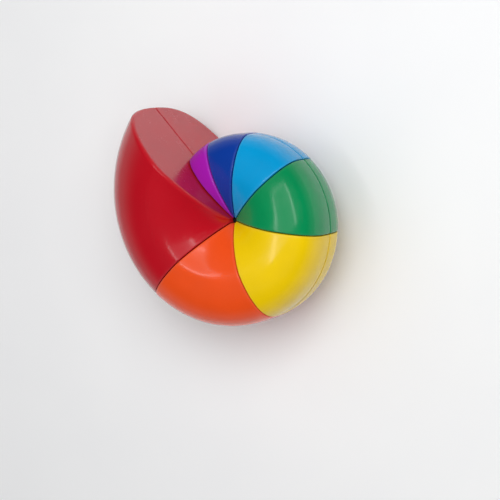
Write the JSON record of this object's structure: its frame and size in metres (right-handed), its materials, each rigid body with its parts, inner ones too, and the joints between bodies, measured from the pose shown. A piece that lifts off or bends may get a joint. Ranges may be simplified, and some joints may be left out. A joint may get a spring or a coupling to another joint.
{
  "type": "two-layer spiral twisting puzzle",
  "caption": "Hand-held twisting puzzle in the shape of a spiral shell: two layers of coloured wedges that turn on one axis, and a half that turns over.",
  "frame": {"origin": "middle of the puzzle's bounding box, on the mid-plane between its two layers; the turning axis stands at X -9.4 mm, Y -5.5 mm", "axes": "+Z along the turning axis, out of the front layer; +X from the turning axis towards the big end, and the half turns over about X; the spiral grows clockwise seen from +Z"},
  "size_m": [0.0947, 0.0786, 0.0614],
  "materials": {
    "violet": "gloss",
    "dark_blue": "gloss",
    "light_blue": "gloss",
    "green": "gloss",
    "yellow": "gloss",
    "orange": "gloss",
    "red": "gloss",
    "mechanism": "matte",
    "fastener": "satin"
  },
  "bodies": {
    "core_right": {"core_right": "mechanism", "core_screw": "fastener", "core_washer": "fastener", "core_spring": "fastener"},
    "core_left": {"core_left": "mechanism"},
    "front_right": {"front_violet_shell": "violet", "front_violet_foot": "mechanism", "front_dark_blue_shell": "dark_blue", "front_dark_blue_foot": "mechanism", "front_light_blue_shell": "light_blue", "front_light_blue_foot": "mechanism", "front_red_shell": "red", "front_red_foot": "mechanism"},
    "front_left": {"front_green_shell": "green", "front_green_foot": "mechanism", "front_yellow_shell": "yellow", "front_yellow_foot": "mechanism", "front_orange_shell": "orange", "front_orange_foot": "mechanism"},
    "back_right": {"back_violet_shell": "violet", "back_violet_foot": "mechanism", "back_dark_blue_shell": "dark_blue", "back_dark_blue_foot": "mechanism", "back_light_blue_shell": "light_blue", "back_light_blue_foot": "mechanism", "back_red_shell": "red", "back_red_foot": "mechanism"},
    "back_left": {"back_green_shell": "green", "back_green_foot": "mechanism", "back_yellow_shell": "yellow", "back_yellow_foot": "mechanism", "back_orange_shell": "orange", "back_orange_foot": "mechanism"}
  },
  "joints": [
    {"name": "half_flip", "type": "hinge", "parent": "core_right", "child": "core_left", "pos_m": [-0.0094, -0.0055, 0], "axis": [1, 0, 0], "range_deg": [-180, 180]},
    {"name": "front_spin", "type": "hinge", "parent": "core_right", "child": "front_right", "pos_m": [-0.0094, -0.0055, 0], "axis": [0, 0, 1], "range_deg": [-180, 180]},
    {"name": "front_spin_left", "type": "hinge", "parent": "core_left", "child": "front_left", "pos_m": [-0.0094, -0.0055, 0], "axis": [0, 0, 1], "range_deg": [-180, 180]},
    {"name": "back_spin", "type": "hinge", "parent": "core_right", "child": "back_right", "pos_m": [-0.0094, -0.0055, 0], "axis": [0, 0, 1], "range_deg": [-180, 180]},
    {"name": "back_spin_left", "type": "hinge", "parent": "core_left", "child": "back_left", "pos_m": [-0.0094, -0.0055, 0], "axis": [0, 0, 1], "range_deg": [-180, 180]}
  ],
  "couplings": [
    {"joint": "front_spin_left", "follows": "front_spin", "ratio": 1},
    {"joint": "back_spin_left", "follows": "back_spin", "ratio": 1}
  ]
}
